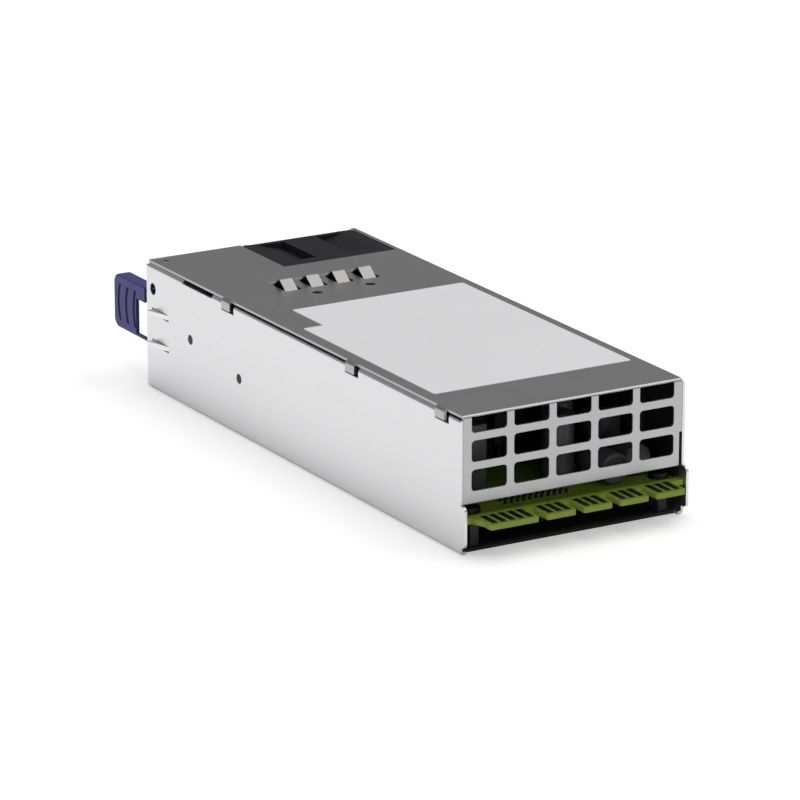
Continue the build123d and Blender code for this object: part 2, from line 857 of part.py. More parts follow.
def make_latch_bracket():
    base = (-wall_inner, -wall_inner + sheet)
    span = (pivot_y - bracket_front, pivot_y + bracket_rear)
    height = about(latch_middle, bracket_height)
    bracket = block(base, span, height)
    for low in (height[0], height[1] - sheet):
        lug = block((-wall_inner, pivot_x + lug_reach), about(pivot_y, 2 * bracket_rear), (low, low + sheet))
        corner_x = pivot_x + lug_reach
        for corner_y in (pivot_y - bracket_rear, pivot_y + bracket_rear):
            lug = fillet(edge_near(lug, Axis.Z, (corner_x, corner_y, low)), bracket_rear / 2)
        bracket += lug
    bracket -= along_z(Circle(latch_pin_radius), height, pivot_x, pivot_y)
    bracket -= along_x(Circle(rivet_radius), base, rear - latch_rivet_from_rear, latch_middle)
    return bracket


def make_latch_pin():
    height = about(latch_middle, bracket_height)
    pin = along_z(Circle(latch_pin_radius), height, pivot_x, pivot_y)
    for low in (height[0] - sheet, height[1]):
        pin += along_z(Circle(latch_pin_head), (low, low + sheet), pivot_x, pivot_y)
    return pin


def make_thumb_tab():
    # One moulding: a grooved thumb block with a window, an arm, a barrel on the pin and a short tail.
    outer_x = -wall_inner + slip
    tab_x = (outer_x, outer_x + tab_thick)
    low = latch_middle - tab_height / 2
    high = latch_middle + tab_height / 2
    neck = rear + play
    end = rear + tab_reach
    face = Pos((neck + end) / 2, latch_middle) * Rectangle(end - neck, tab_height)
    outer_corners = face.vertices().group_by(Axis.X)[-1]
    face = fillet(outer_corners, tab_round)
    tab = along_x(face, tab_x)
    tab = fillet(tab.edges().filter_by(Plane.YZ).group_by(Axis.X)[0], tab_edge)
    heel = Pos((tab_x[0] + tab_x[1]) / 2, (neck + end) / 2) * Rectangle(tab_thick, end - neck)
    heel = fillet(heel.vertices().sort_by_distance((tab_x[1], end))[0], tab_heel)
    tab &= along_z(heel, (low, high))
    tab -= block(tab_x, (neck, end - tab_block), (low + tab_rail, high - tab_arm))
    # Below its top bar the block is hollow and open towards the inlet.
    tab -= block((outer_x + tab_wall, tab_x[1]), (neck, end - tab_wall), (low, high - tab_arm))
    tab -= block((outer_x, outer_x + tab_wall), (neck, neck + tab_rail + tab_notch), (high - tab_arm, high))
    for count in range(groove_count):
        crest = end - groove_first - count * groove_pitch
        arc = Pos(crest - groove_radius, latch_middle) * ring(groove_radius, groove_radius - groove_width)
        arc &= Pos(crest, latch_middle) * Rectangle(2 * groove_pitch, groove_height)
        tab -= along_x(arc, (tab_x[0], tab_x[0] + groove_depth))
    arm_height = about(latch_middle, bracket_height - 2 * sheet - 2 * play)
    arm_x = (-wall_inner + arm_gap, -wall_inner + arm_gap + arm_thick)
    arm = block(arm_x, (pivot_y, neck + tab_rail), arm_height)
    tail_x = (-wall_inner + tail_gap, -wall_inner + tail_gap + tail_thick)
    arm += block(tail_x, (pivot_y - tail_reach, pivot_y), arm_height)
    arm += along_z(Circle(barrel_radius), arm_height, pivot_x, pivot_y)
    arm -= along_z(Circle(latch_pin_radius + shaft_clear), arm_height, pivot_x, pivot_y)
    # The arm steps out to the thumb block just outside the rear panel.
    step = block((tab_x[0], tab_x[1]), (neck, neck + tab_rail), (low, high))
    return tab + step + arm


def make_latch_plate():
    # A steel plate on the arm's outer face, two teeth standing out of it through the wall.
    plate_x = (-wall_inner + arm_gap - sheet, -wall_inner + arm_gap)
    height = (lower_tooth - tooth_height / 2 - plate_edge, upper_tooth + tooth_height / 2 + plate_edge)
    plate = block(plate_x, (pivot_y + bracket_rear + play, rear - plate_rear), height)
    tip = -half_width - tooth_reach
    start = rear - tooth_front
    end = rear - tooth_rear
    ramp = shape([(plate_x[1], start), (-half_width + sheet / 2, start), (tip, end - sheet), (tip, end),
                  (plate_x[1], end)])
    for middle in (upper_tooth, lower_tooth):
        plate += along_z(ramp, about(middle, tooth_height))
    return plate


def make_latch_spring():
    # A bowed leaf between the bracket and the tail of the latch.
    bow = tail_gap - sheet
    near = pivot_y - tail_reach
    far = pivot_y - tail_reach / 2 - rivet_head
    base_x = -wall_inner + sheet
    outer = ThreePointArc((base_x, near), (base_x + bow, (near + far) / 2), (base_x, far))
    middle = (near + far) / 2
    inner = ThreePointArc((base_x, near + leaf), (base_x + bow - leaf, middle), (base_x, far - leaf))
    ends = [Line((base_x, near), (base_x, near + leaf)), Line((base_x, far - leaf), (base_x, far))]
    return along_z(make_face([outer, inner] + ends), about(latch_middle, bracket_height / 2))


def make_wall_rivets():
    rivets = []
    for place, height, grip in ((rear - latch_rivet_from_rear, latch_middle, sheet),
                                (rear - heatsink_rivet_from_rear, heatsink_rivet_height, sink_thick)):
        inside = -wall_inner + grip
        rivet = along_x(Circle(rivet_radius), (-half_width, inside), place, height)
        rivet += along_x(Circle(rivet_head), (inside, inside + rivet_head_height), place, height)
        rivets.append(rivet)
    return group(rivets)


def tongue_spans():
    # The card-edge tongues from left to right: one wide, then equal ones.
    right = wall_inner - tongues_from_right
    room = right + wall_inner - tongues_from_left - wide_tongue
    spans = []
    for count in range(int(room // (tongue_width + tongue_gap))):
        spans.append((right - tongue_width, right))
        right -= tongue_width + tongue_gap
    spans.append((right - wide_tongue, right))
    return spans[::-1]


def make_main_board():
    edge = front - board_front_reach
    sides = (-wall_inner + board_side_gap, wall_inner - board_side_gap)
    level = (board_height - board_thick, board_height)
    board = block(sides, (edge, board_rear), level)
    for span in tongue_spans():
        tongue = block(span, (edge - tongue_reach, edge + sheet), level)
        for x in span:
            corner = edge_near(tongue, Axis.Z, (x, edge - tongue_reach, board_height))
            tongue = chamfer(corner, tongue_bevel / 4)
        board += tongue
    left = tongue_spans()[0][0]
    gusset = shape([(left, edge), (left - tongue_bevel, edge), (left, edge - tongue_reach / 2)])
    board += along_z(gusset, level)
    for x, y in board_screw_places:
        board -= along_z(Circle(board_screw_radius + screw_clear), level, x, y)
    for x, y in signal_pins:
        board -= along_z(Rectangle(signal_pin, signal_pin), level, x, y)
    return board


def make_edge_contacts():
    contacts = []
    tip = front - board_front_reach - tongue_reach + contact_setback
    pitch = contact_width + contact_gap
    for span in tongue_spans():
        middle = (span[0] + span[1]) / 2
        count = int((span[1] - span[0]) // pitch)
        for place in range(count):
            x = middle + (place - (count - 1) / 2) * pitch
            for low in (board_height, board_height - board_thick - contact_foil):
                contacts.append(block(about(x, contact_width), (tip, tip + contact_length),
                                      (low, low + contact_foil)))
    return group(contacts)


def make_signal_pins():
    low = board_height - board_thick - signal_block_height - signal_pin_down
    return group(
        block(about(x, signal_pin), about(y, signal_pin), (low, board_height + signal_pin_up))
        for x, y in signal_pins
    )


def make_signal_connector():
    xs = [x for x, y in signal_pins]
    ys = [y for x, y in signal_pins]
    high = board_height - board_thick
    body = block((min(xs) - signal_block_border, max(xs) + signal_block_border),
                 (min(ys) - signal_block_border, max(ys) + signal_block_border),
                 (high - signal_block_height, high))
    for x, y in signal_pins:
        body -= along_z(Rectangle(signal_pin, signal_pin), (high - signal_block_height, high), x, y)
    return body


def make_board_standoffs():
    posts = []
    for x, y in board_screw_places:
        post = along_z(RegularPolygon(standoff_radius, 6), (sheet, board_height - board_thick), x, y)
        hole = along_z(Circle(board_screw_radius), (sheet + fold, board_height - board_thick), x, y)
        posts.append(post - hole)
    return group(posts)


def make_board_screws():
    screws = []
    for x, y in board_screw_places:
        head = along_z(Circle(board_screw_head), (board_height, board_height + board_screw_head_height), x, y)
        head = fillet(head.edges().sort_by(Axis.Z)[-1], board_screw_head_height / 2)
        shank = (board_height - board_thick - 2 * board_screw_radius, board_height)
        screws.append(head + along_z(Circle(board_screw_radius), shank, x, y))
    return group(screws)


def make_floor_insulator():
    half = wall_inner - screw_inset - standoff_radius - play
    return block(about(0, 2 * half), (front + floor_setback + fold, board_rear), (sheet, sheet + floor_film))


def standing_can(radius, height, x, y):
    can = along_z(Circle(radius), (board_height, board_height + height), x, y)
    return fillet(can.edges().sort_by(Axis.Z)[-1], can_round)


def make_output_capacitors():
    # Two cans lie on the board behind the grille, and the others stand.
    cans = []
    for count in range(2):
        start = front + lying_can_setback * (count + 1)
        x = lying_can_x + count * lying_can_pitch
        lying = along_y(Circle(small_can), (start, start + small_can_length), x, board_height + small_can)
        cans.append(fillet(lying.edges().filter_by(GeomType.CIRCLE), can_round))
    for count in range(tall_can_rows):
        x = lying_can_x - tall_can_from_lying + count * tall_can_row_shift
        y = front + tall_can_from_front + count * tall_can_row_pitch
        cans.append(standing_can(tall_can, tall_can_height, x, y))
    wide_x = wall_inner - wide_can_from_right
    cans.append(standing_can(wide_can, wide_can_height, wide_x, front + wide_can_from_front))
    return group(cans)


def make_bulk_capacitors():
    # A row across the board, as many as fit beside the rectifier.
    height = cover_under - headroom - board_height
    pitch = 2 * bulk_can + can_round
    right = wall_inner - wall_gap
    left = -wall_inner + sink_thick + sink_fin + device_thick
    count = int((right - left) // pitch)
    return group(
        standing_can(bulk_can, height, right - bulk_can - place * pitch, bulk_y) for place in range(count)
    )


def make_transformer():
    # A ferrite core with two windows and the coil on its middle leg.
    x = transformer_x
    y = transformer_y
    high = cover_under - headroom
    core = block(about(x, core_width), about(y, core_length), (board_height, high))
    window_low = board_height + core_leg
    window_high = high - core_leg
    leg = core_width / 2 - core_leg
    for side in (-1, 1):
        gap = (x + side * core_leg, x + side * leg)
        core -= block(gap, about(y, core_length), (window_low, window_high))
    middle = (window_low + window_high) / 2
    outline = RectangleRounded(2 * leg - 2 * winding_gap, coil_length, can_round)
    coil = along_z(outline, about(middle, window_high - window_low - 2 * winding_gap), x, y)
    hole = about(x, 2 * core_leg + 2 * winding_gap)
    coil -= block(hole, about(y, core_length + 2 * winding_gap), (window_low, window_high))
    return core, coil


def make_ring_choke(radius, bore, thick, x, y):
    # A ring core lying on the board inside a wound ring.
    wound = choke_wire + winding_gap
    low = board_height + wound
    core = along_z(ring(radius, bore), (low, low + thick), x, y)
    wire = along_z(ring(radius + choke_wire, bore - choke_wire), (board_height, low + thick + wound), x, y)
    wire -= along_z(ring(radius, bore), (low, low + thick), x, y)
    wire -= block((x, x + 2 * radius), about(y, bore), (board_height, low + thick + wound))
    return core, wire


def make_primary_heatsink():
    # A finned plate riveted to the left wall.
    y = about(rear - heatsink_rivet_from_rear, sink_length)
    top = cover_under - headroom
    plate = block((-wall_inner, -wall_inner + sink_thick), y, (board_height, top))
    pitch = (sink_length - sink_thick) / (sink_fins - 1)
    for count in range(sink_fins):
        start = y[0] + count * pitch
        reach = (-wall_inner, -wall_inner + sink_thick + sink_fin)
        plate += block(reach, (start, start + sheet), (board_height, top))
    hole = (-wall_inner, -wall_inner + sink_thick)
    plate -= along_x(Circle(rivet_radius), hole, rear - heatsink_rivet_from_rear, heatsink_rivet_height)
    return plate


def make_output_heatsink():
    return block(about(0, output_sink_width), (output_sink_y, output_sink_y + sink_thick),
                 (board_height, cover_under - headroom))


def make_power_transistors():
    # Three-legged devices along the front of the output heat sink.
    y = output_sink_y
    pitch = device_width + device_thick
    devices = []
    for count in range(device_count):
        x = (count - (device_count - 1) / 2) * pitch
        height = about(board_height + device_height, device_height)
        body = block(about(x, device_width), (y - device_thick, y), height)
        for leg in (-1, 0, 1):
            foot = about(x + leg * device_width / 4, terminal_thick)
            body += block(foot, about(y - device_thick / 2, terminal_thick),
                          (board_height, board_height + device_height))
        devices.append(body)
    return group(devices)


def make_bridge_rectifier():
    x = -wall_inner + sink_thick + sink_fin
    y = rear - heatsink_rivet_from_rear
    height = (board_height, board_height + device_height)
    return block((x, x + device_thick), about(y, 2 * device_width), height)


def board_box(x, y, width, length, height):
    # A moulded box on the board with rounded upright edges.
    box = block(about(x, width), about(y, length), (board_height, board_height + height))
    return fillet(box.edges().filter_by(Axis.Z), can_round)


def make_film_capacitors():
    pitch = film_length + part_gap
    first = rear_row - film_length / 2
    return group(
        board_box(film_x, first - count * pitch, film_width, film_length, device_height)
        for count in range(film_count)
    )


def make_fuse():
    y = rear_row - film_count * (film_length + part_gap) - fuse_radius
    body = along_x(Circle(fuse_radius), about(film_x, fuse_length), y, board_height + fuse_radius)
    return fillet(body.edges().filter_by(GeomType.CIRCLE), can_round / 2)


def make_control_card():
    y = about(transformer_y - card_ahead, card_length)
    return block((card_x, card_x + card_thick), y, (board_height, cover_under - headroom))


def make_output_busbars():
    start = front + busbar_from_front
    return group(
        block(about(wall_inner - busbar_from_right - count * busbar_pitch, busbar_thick),
              (start, start + busbar_length), (board_height, board_height + busbar_height))
        for count in range(busbar_count)
    )


def make_fan_header():
    x = fan_left + lead_inset
    return block(about(x, lead_block), (board_rear - lead_block, board_rear),
                 (board_height, lead_low + (lead_count + 1) * lead_pitch))


def make_fan_lead():
    # Short wires from the fan straight into its header.
    return group(
        along_y(Circle(lead_radius), (board_rear, fan_front), fan_left + lead_inset,
                lead_low + (count + 1) * lead_pitch)
        for count in range(lead_count)
    )


transformer_core, transformer_winding = make_transformer()
standby_x = -wall_inner + standby_from_left + standby_width / 2
standby_y = front + standby_from_front
choke_y = transformer_y - choke_ahead
relay_y = rear_row - relay_length / 2
boost_core, boost_winding = make_ring_choke(choke_radius, choke_bore, choke_thick, choke_x, choke_y)
filter_core, filter_winding = make_ring_choke(filter_radius, filter_bore, filter_thick, filter_x, relay_y)
nodes = {
    "chassis": make_chassis(),
    "top_cover": make_top_cover(),
    "rear_panel": make_rear_panel(),
    "cover_screw": make_cover_screw(),
    "grounding_springs": make_grounding_springs(),
    "rating_label": make_rating_label(),
    "fan_frame": make_fan_frame(),
    "fan_rotor": make_fan_rotor(),
    "fan_shaft": make_fan_shaft(),
    "fan_bearing": make_fan_bearing(),
    "fan_stator": make_fan_stator(),
    "rotor_magnet": make_rotor_magnet(),
    "fan_guard": make_fan_guard(),
    "fan_screws": make_fan_screws(),
    "pull_handle": make_pull_handle(),
    "inlet_socket": make_inlet_socket(),
    "inlet_blades": make_inlet_blades(),
    "inlet_links": make_inlet_links(),
    "status_light": make_status_light(),
    "latch_bracket": make_latch_bracket(),
    "latch_pin": make_latch_pin(),
    "thumb_tab": make_thumb_tab(),
    "latch_plate": make_latch_plate(),
    "latch_spring": make_latch_spring(),
    "wall_rivets": make_wall_rivets(),
    "main_board": make_main_board(),
    "edge_contacts": make_edge_contacts(),
    "signal_pins": make_signal_pins(),
    "signal_connector": make_signal_connector(),
    "board_standoffs": make_board_standoffs(),
    "board_screws": make_board_screws(),
    "floor_insulator": make_floor_insulator(),
    "output_capacitors": make_output_capacitors(),
    "bulk_capacitors": make_bulk_capacitors(),
    "transformer_core": transformer_core,
    "transformer_winding": transformer_winding,
    "boost_choke_core": boost_core,
    "boost_choke_winding": boost_winding,
    "filter_choke_core": filter_core,
    "filter_choke_winding": filter_winding,
    "primary_heatsink": make_primary_heatsink(),
    "output_heatsink": make_output_heatsink(),
    "power_transistors": make_power_transistors(),
    "bridge_rectifier": make_bridge_rectifier(),
    "film_capacitors": make_film_capacitors(),
    "fuse": make_fuse(),
    "relay": board_box(relay_x, relay_y, relay_width, relay_length, device_height),
    "control_card": make_control_card(),
    "output_busbars": make_output_busbars(),
    "standby_transformer": board_box(standby_x, standby_y, standby_width, device_height, standby_height),
    "fan_header": make_fan_header(),
    "fan_lead": make_fan_lead(),
}

os.makedirs("parts", exist_ok=True)
for name, solid in nodes.items():
    export_step(solid, "parts/" + name + ".step")
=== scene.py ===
import bpy
import numpy as np
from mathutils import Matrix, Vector


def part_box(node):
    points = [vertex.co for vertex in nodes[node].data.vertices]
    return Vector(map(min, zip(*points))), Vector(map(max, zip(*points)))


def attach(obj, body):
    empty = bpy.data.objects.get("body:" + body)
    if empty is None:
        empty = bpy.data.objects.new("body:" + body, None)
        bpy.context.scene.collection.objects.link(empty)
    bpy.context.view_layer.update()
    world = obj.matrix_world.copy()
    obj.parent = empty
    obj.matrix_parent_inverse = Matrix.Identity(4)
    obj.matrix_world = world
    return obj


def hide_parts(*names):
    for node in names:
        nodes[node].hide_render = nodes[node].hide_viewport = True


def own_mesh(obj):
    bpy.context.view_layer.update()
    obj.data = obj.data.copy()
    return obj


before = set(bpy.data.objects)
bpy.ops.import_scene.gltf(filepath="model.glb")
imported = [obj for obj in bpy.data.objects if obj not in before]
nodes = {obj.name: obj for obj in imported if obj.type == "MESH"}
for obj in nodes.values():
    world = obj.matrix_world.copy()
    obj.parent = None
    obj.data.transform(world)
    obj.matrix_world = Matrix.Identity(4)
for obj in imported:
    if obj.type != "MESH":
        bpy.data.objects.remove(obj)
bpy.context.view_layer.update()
print("frame loaded:", len(nodes), "nodes")


# sRGB hex to linear red, green, blue and alpha
def hexColour(text):
    srgb = np.array([int(text[i:i + 2], 16) for i in (1, 3, 5)]) / 255
    linear = np.where(srgb <= 0.04045, srgb / 12.92, ((srgb + 0.055) / 1.055) ** 2.4)
    return [*linear.tolist(), 1.0]


# adds a node: plain settings go to its properties, the rest to its sockets, and links feed sockets
def addNode(tree, kind, links=None, **settings):
    node = tree.nodes.new(kind)
    for name, value in settings.items():
        if hasattr(node, name):
            setattr(node, name, value)
    for name, value in settings.items():
        if not hasattr(node, name):
            node.inputs[name.replace("_", " ")].default_value = value
    for name, socket in (links or {}).items():
        tree.links.new(socket, node.inputs[name])
    return node


# a new material and its node tree, with nothing in it
def emptyMaterial(name):
    material = bpy.data.materials.new(name)
    material.use_nodes = True
    material.node_tree.nodes.clear()
    return material, material.node_tree


# pattern frequency on Object coordinates, which are metres, for a feature of so many millimetres
def perMillimetre(size):
    return 1000 / size


# what every grain shares: noise detail, and the parts of the noise's range that move tone and roughness
grainShape = dict(detail=3.0, detailShare=0.55, patchDetail=2.0, toneSpan=(0.32, 0.68), roughSpan=(0.3, 0.7))


# A surface with one grain: noise of the grain's real size, drawn out by stretch, moves the colour
# between two tones, the roughness between two values and a bump of the grain's real height.
# A second, wide noise shifts the tone over whole patches, as rolling, moulding and handling do.
# Sharp edges are softened in the shading by the look's edge radius.
def grainFinish(name, look):
    material, tree = emptyMaterial(name)
    place = addNode(tree, "ShaderNodeTexCoord").outputs["Object"]
    drawn = addNode(tree, "ShaderNodeMapping", {"Vector": place}, Scale=look.get("stretch", (1, 1, 1)))
    grain = addNode(tree, "ShaderNodeTexNoise", {"Vector": drawn.outputs["Vector"]},
                    Scale=perMillimetre(look["grainMm"]), Detail=grainShape["detail"],
                    Roughness=grainShape["detailShare"])
    patch = addNode(tree, "ShaderNodeTexNoise", {"Vector": place},
                    Scale=perMillimetre(look.get("patchMm", 40)), Detail=grainShape["patchDetail"])
    both = addNode(tree, "ShaderNodeMix", {"A": grain.outputs["Fac"], "B": patch.outputs["Fac"]},
                   data_type="FLOAT", Factor=look.get("patchShare", 0.4))
    tones = addNode(tree, "ShaderNodeValToRGB", {"Fac": both.outputs["Result"]})
    darkStop, lightStop = tones.color_ramp.elements
    darkStop.position, lightStop.position = grainShape["toneSpan"]
    darkStop.color, lightStop.color = hexColour(look["dark"]), hexColour(look["light"])
    limits = ("From Min", "From Max", "To Min", "To Max")
    spread = dict(zip(limits, (*grainShape["roughSpan"], *look["rough"])))
    rough = addNode(tree, "ShaderNodeMapRange", {"Value": both.outputs["Result"]}, **spread)
    edges = addNode(tree, "ShaderNodeBevel", Radius=look.get("edgeMm", 0.1) / 1000)
    bump = addNode(tree, "ShaderNodeBump",
                   {"Height": grain.outputs["Fac"], "Normal": edges.outputs["Normal"]},
                   Strength=look.get("bump", 0.3), Distance=look.get("bumpMm", 0.01) / 1000)
    shader = addNode(tree, "ShaderNodeBsdfPrincipled",
                     {"Base Color": tones.outputs["Color"], "Roughness": rough.outputs["Result"],
                      "Normal": bump.outputs["Normal"]},
                     Metallic=look.get("metallic", 0.0), IOR=look.get("ior", 1.5))
    shader.inputs["Coat Weight"].default_value = look.get("coat", 0.0)
    addNode(tree, "ShaderNodeOutputMaterial", {"Surface": shader.outputs["BSDF"]})
    return material


# Each finish is named for the real material, or for the painted light it carries; the note says what that
# gives the eye.
looks = {
    # skin-passed zinc coating: pale even grey, faint rolling streaks along the case
    "galvanisedSteel": dict(dark="#DFDFE0", light="#E3E3E4", metallic=1.0, rough=(0.33, 0.37),
                            grainMm=0.5, stretch=(1, 0.06, 1), bump=0.03, bumpMm=0.002, patchMm=14,
                            edgeMm=0.2),
    # the same galvanised steel for the lid, a tone darker as painted shade: its top and front panel stay
    # darker than the case's side; same streaks
    "lidSteelPaintedShade": dict(dark="#B4B4B5", light="#B8B8B9", metallic=1.0, rough=(0.34, 0.38),
                     grainMm=0.5, stretch=(1, 0.06, 1), bump=0.03, bumpMm=0.002, patchMm=18,
                     edgeMm=0.2),
    # nickel-plated spring strip: pale warm grey, softly spread highlights
    "nickelSpring": dict(dark="#A1A09F", light="#A7A6A5", metallic=1.0, rough=(0.40, 0.46),
                         grainMm=0.6, stretch=(1, 0.2, 1), bump=0.02, bumpMm=0.002),
    # latch plate made nearly white and only half a mirror, as a painted highlight for the bright glint along
    # its teeth
    "paintedGlintPlate": dict(dark="#FAFAFA", light="#FDFDFD", metallic=0.6, rough=(0.30, 0.36), grainMm=0.5,
                    bump=0.05, bumpMm=0.003),
    # satin polyester film: pale grey, no streaks, a soft broad sheen
    "polyesterFilm": dict(dark="#F4F4F5", light="#F8F8F9", rough=(0.42, 0.50), grainMm=0.5,
                          bump=0.08, bumpMm=0.003, patchMm=60),
    # glass-filled PBT, spark-eroded mould: near-black with a fine matt grain
    "fanPlastic": dict(dark="#1C1C1F", light="#242427", rough=(0.50, 0.62), grainMm=0.5, bump=0.35,
                       bumpMm=0.015, ior=1.3),
    # nylon for the inlet and headers: deeper black, a little shinier
    "blackNylon": dict(dark="#161617", light="#1F1F21", rough=(0.38, 0.48), grainMm=0.5, bump=0.3,
                       bumpMm=0.012),
    # coloured ABS for the release tab: violet, satin, softly lit edges
    "violetAbs": dict(dark="#444581", light="#4A4B89", rough=(0.40, 0.50), grainMm=0.45, bump=0.25,
                      bumpMm=0.01, patchMm=25, edgeMm=0.3, ior=1.33),
    # zinc-plated fasteners: small, bright, slightly bluish
    "zincScrew": dict(dark="#A9ABAF", light="#C0C2C5", metallic=1.0, rough=(0.28, 0.40),
                      grainMm=0.4, bump=0.15, bumpMm=0.004),
    # blackened rivets, board screws and posts: dark metal that still catches a highlight
    "blackOxide": dict(dark="#2B2B2D", light="#3A3A3C", metallic=1.0, rough=(0.34, 0.46),
                       grainMm=0.4, bump=0.15, bumpMm=0.004),
    # powder coat on the handle: black with an orange-peel grain
    "powderCoat": dict(dark="#18181A", light="#202022", rough=(0.42, 0.52), grainMm=1.1, bump=0.5,
                       bumpMm=0.03),
    # turned brass: warm yellow with fine lathe lines
    "turnedBrass": dict(dark="#B58A45", light="#CFA75F", metallic=1.0, rough=(0.22, 0.34),
                        grainMm=0.4, stretch=(1, 1, 3), bump=0.15, bumpMm=0.004),
    # varnished copper: dark red-brown under baked varnish
    "varnishedCopper": dict(dark="#2E1A10", light="#452818", metallic=0.6, rough=(0.30, 0.42),
                            grainMm=0.8, stretch=(1, 1, 2.5), bump=0.4, bumpMm=0.05, coat=0.3),
    # winding tape over the transformer's coil: black-brown, dull
    "windingTape": dict(dark="#14120F", light="#1D1A16", rough=(0.50, 0.62), grainMm=0.8, bump=0.2,
                        bumpMm=0.01),
    # plating on the card edge: nearly black in this light
    "darkContact": dict(dark="#080806", light="#0E0E0A", rough=(0.45, 0.58), grainMm=0.4, bump=0.1,
                        bumpMm=0.003, ior=1.3),
    # PVC sleeve on the capacitor cans: charcoal, a smooth sheen
    "canSleeve": dict(dark="#4A4A4D", light="#545458", rough=(0.30, 0.40), grainMm=1.5, bump=0.1,
                      bumpMm=0.01),
    # pressed ferrite: charcoal, dull, faintly speckled
    "ferrite": dict(dark="#2C2C2E", light="#3A3A3C", rough=(0.55, 0.70), grainMm=0.6, bump=0.4,
                    bumpMm=0.02),
    # black anodised aluminium: dull black with upright die lines
    "anodisedAluminium": dict(dark="#121213", light="#1A1A1C", metallic=0.3, rough=(0.42, 0.54),
                              grainMm=0.5, stretch=(1, 1, 0.05), bump=0.2, bumpMm=0.006),
    # dark solder mask on the control card: greenish black, a little gloss
    "darkMask": dict(dark="#10160A", light="#172010", rough=(0.34, 0.44), grainMm=1.2, bump=0.1,
                     bumpMm=0.005),
    # moulded epoxy cases of the devices: black, matt
    "epoxyCase": dict(dark="#1A1A1B", light="#242425", rough=(0.48, 0.60), grainMm=0.4, bump=0.3,
                      bumpMm=0.01),
    # polyester box of the film capacitors: dull ochre
    "filmCase": dict(dark="#8A6A22", light="#9C7A2C", rough=(0.34, 0.44), grainMm=0.6, bump=0.15,
                     bumpMm=0.006),
    # aramid sheet under the board: black, fibrous
    "aramidSheet": dict(dark="#121213", light="#1B1B1C", rough=(0.60, 0.75), grainMm=0.8, bump=0.4,
                        bumpMm=0.02),
    # acrylic light pipe: milky, smooth
    "acrylicPipe": dict(dark="#C9D6C4", light="#DCE6D8", rough=(0.08, 0.14), grainMm=2.0,
                        bump=0.05, bumpMm=0.003, coat=0.5),
}
finishes = {name: grainFinish(name, look) for name, look in looks.items()}


# Glass-epoxy board: mask over copper on its two faces, bare laminate on its cut edges. Faces that
# point up or down take the mask, with a faint brick of traces under it; the others the laminate.
boardLook = dict(mask="#6E8226", maskOverCopper="#7A902C", laminate="#8E9E3C", traceMm=2.4, weaveMm=0.5,
                 flatLimit=0.6, traceGap=0.06, traceLong=1.7, traceWide=0.35, tracesAcross=4, weaveDetail=2.0,
                 bump=0.2, bumpMm=0.01, rough=0.42, ior=1.34)


def boardFinish(look):
    material, tree = emptyMaterial("glassEpoxyBoard")
    place = addNode(tree, "ShaderNodeTexCoord").outputs["Object"]
    geometry = addNode(tree, "ShaderNodeNewGeometry")
    facing = addNode(tree, "ShaderNodeSeparateXYZ", {"Vector": geometry.outputs["Normal"]})
    upright = addNode(tree, "ShaderNodeMath", {0: facing.outputs["Z"]}, operation="ABSOLUTE")
    flat = addNode(tree, "ShaderNodeMath", {0: upright.outputs["Value"]}, operation="GREATER_THAN")
    flat.inputs[1].default_value = look["flatLimit"]
    brick = {"Mortar Size": look["traceGap"], "Brick Width": look["traceLong"],
             "Row Height": look["traceWide"]}
    traces = addNode(tree, "ShaderNodeTexBrick", {"Vector": place},
                     Scale=perMillimetre(look["traceMm"]) / look["tracesAcross"],
                     Color1=hexColour(look["maskOverCopper"]), Color2=hexColour(look["maskOverCopper"]),
                     Mortar=hexColour(look["mask"]), **brick)
    tone = addNode(tree, "ShaderNodeMix", {"Factor": flat.outputs["Value"]}, data_type="RGBA")
    tone.inputs["A"].default_value = hexColour(look["laminate"])
    tree.links.new(traces.outputs["Color"], tone.inputs["B"])
    weave = addNode(tree, "ShaderNodeTexNoise", {"Vector": place},
                    Scale=perMillimetre(look["weaveMm"]), Detail=look["weaveDetail"])
    bump = addNode(tree, "ShaderNodeBump", {"Height": weave.outputs["Fac"]},
                   Strength=look["bump"], Distance=look["bumpMm"] / 1000)
    shader = addNode(tree, "ShaderNodeBsdfPrincipled",
                     {"Base Color": tone.outputs["Result"], "Normal": bump.outputs["Normal"]},
                     Roughness=look["rough"], IOR=look["ior"])
    addNode(tree, "ShaderNodeOutputMaterial", {"Surface": shader.outputs["BSDF"]})
    return material


finishes["glassEpoxyBoard"] = boardFinish(boardLook)

wearers = {
    "galvanisedSteel": "chassis rear_panel latch_bracket",
    "paintedGlintPlate": "latch_plate",
    "lidSteelPaintedShade": "top_cover cover_screw",
    "nickelSpring": "grounding_springs latch_spring",
    "polyesterFilm": "rating_label",
    "fanPlastic": "fan_frame fan_rotor",
    "blackNylon": "inlet_socket signal_connector fan_header",
    "violetAbs": "thumb_tab",
    "zincScrew": "fan_screws latch_pin fan_shaft fan_guard",
    "blackOxide": "wall_rivets board_screws board_standoffs signal_pins",
    "powderCoat": "pull_handle",
    "turnedBrass": "fan_bearing inlet_blades",
    "varnishedCopper": "inlet_links output_busbars boost_choke_winding filter_choke_winding fan_stator",
    "windingTape": "transformer_winding",
    "glassEpoxyBoard": "main_board",
    "darkMask": "control_card",
    "darkContact": "edge_contacts",
    "acrylicPipe": "status_light",
    "canSleeve": "output_capacitors bulk_capacitors standby_transformer",
    "ferrite": "transformer_core boost_choke_core filter_choke_core rotor_magnet",
    "anodisedAluminium": "primary_heatsink output_heatsink",
    "epoxyCase": "power_transistors bridge_rectifier fuse relay",
    "filmCase": "film_capacitors",
    "aramidSheet": "floor_insulator fan_lead",
}
for finish, names in wearers.items():
    for name in names.split():
        for slot in nodes[name].material_slots:
            slot.material = finishes[finish]
print("finishes laid:", len(finishes))


